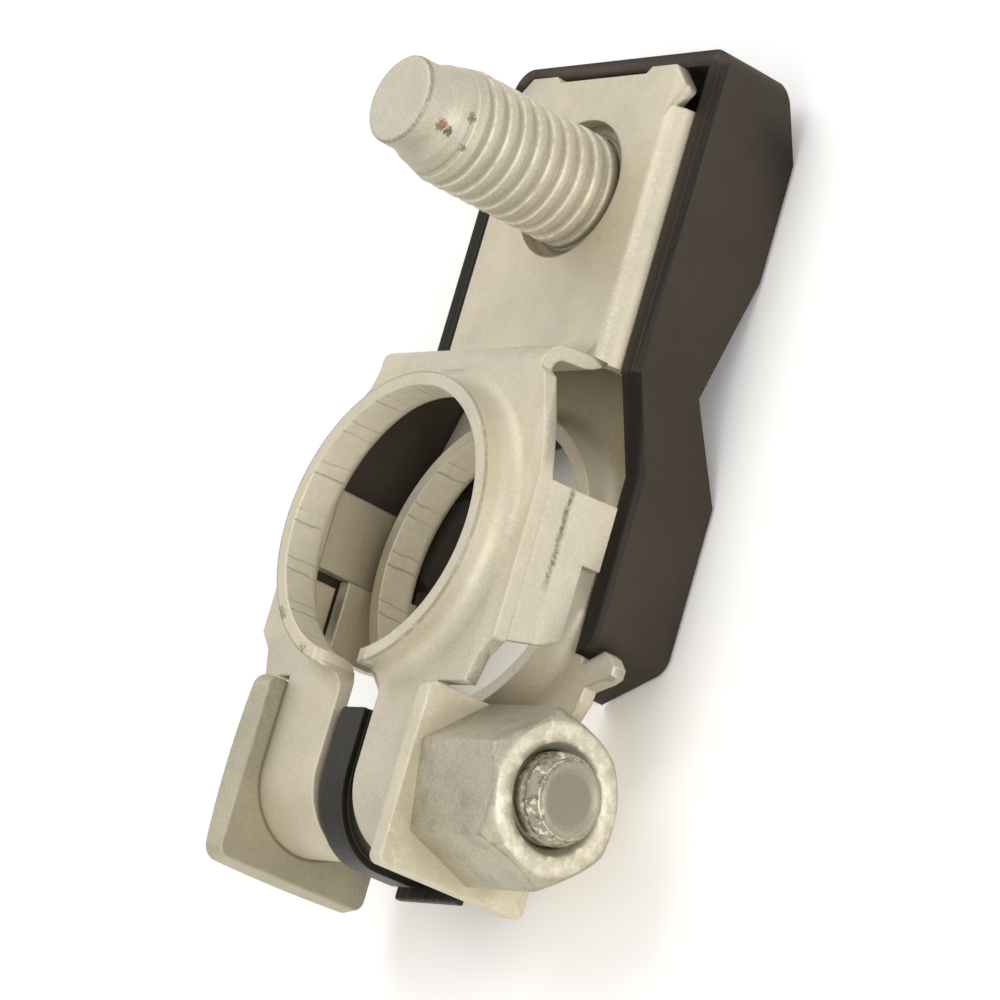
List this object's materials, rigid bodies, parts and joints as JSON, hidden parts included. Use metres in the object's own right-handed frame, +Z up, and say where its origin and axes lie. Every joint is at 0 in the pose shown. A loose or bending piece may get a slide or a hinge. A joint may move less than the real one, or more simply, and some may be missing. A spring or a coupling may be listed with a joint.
{
  "type": "battery terminal clamp",
  "caption": "Folded sheet-metal clamp for a tapered battery post, with a threaded cable stud, a clamp bolt with square head, washer and nut, a spacer between the ears and an insulating tray.",
  "frame": {"origin": "on the axis of the battery post, at the middle of the lower collar's wall", "axes": "+Z up the battery post, +Y from the post to the cable stud, +X along the clamp bolt to its nut"},
  "size_m": [0.0326, 0.0584, 0.0236],
  "materials": {
    "tinned_sheet": "dull tin plate over sheet metal",
    "plated_stud": "dull tin plate",
    "plated_fastener": "dull plate",
    "plated_washer": "dull plate",
    "plated_nut": "dull plate",
    "tray_plastic": "fine matt moulding",
    "spacer_plastic": "smooth moulding"
  },
  "bodies": {
    "body": {"clamp_body": "tinned_sheet", "cable_stud": "plated_stud", "insulating_tray": "tray_plastic", "clamp_bolt": "plated_fastener", "ear_spacer": "spacer_plastic"},
    "washer": {"square_washer": "plated_washer"},
    "nut": {"clamp_nut": "plated_nut"}
  },
  "joints": [
    {"name": "washer_slide", "type": "slide", "parent": "body", "child": "washer", "axis": [1, 0, 0], "range_m": [0, 0.0085]},
    {"name": "nut_turn", "type": "hinge", "parent": "washer", "child": "nut", "pos_m": [0, -0.016, 0.00245], "axis": [1, 0, 0], "range_deg": [0, 1800]}
  ],
  "couplings": [
    {"joint": "washer_slide", "follows": "nut_turn", "m_per_rad": 0.00015915}
  ]
}
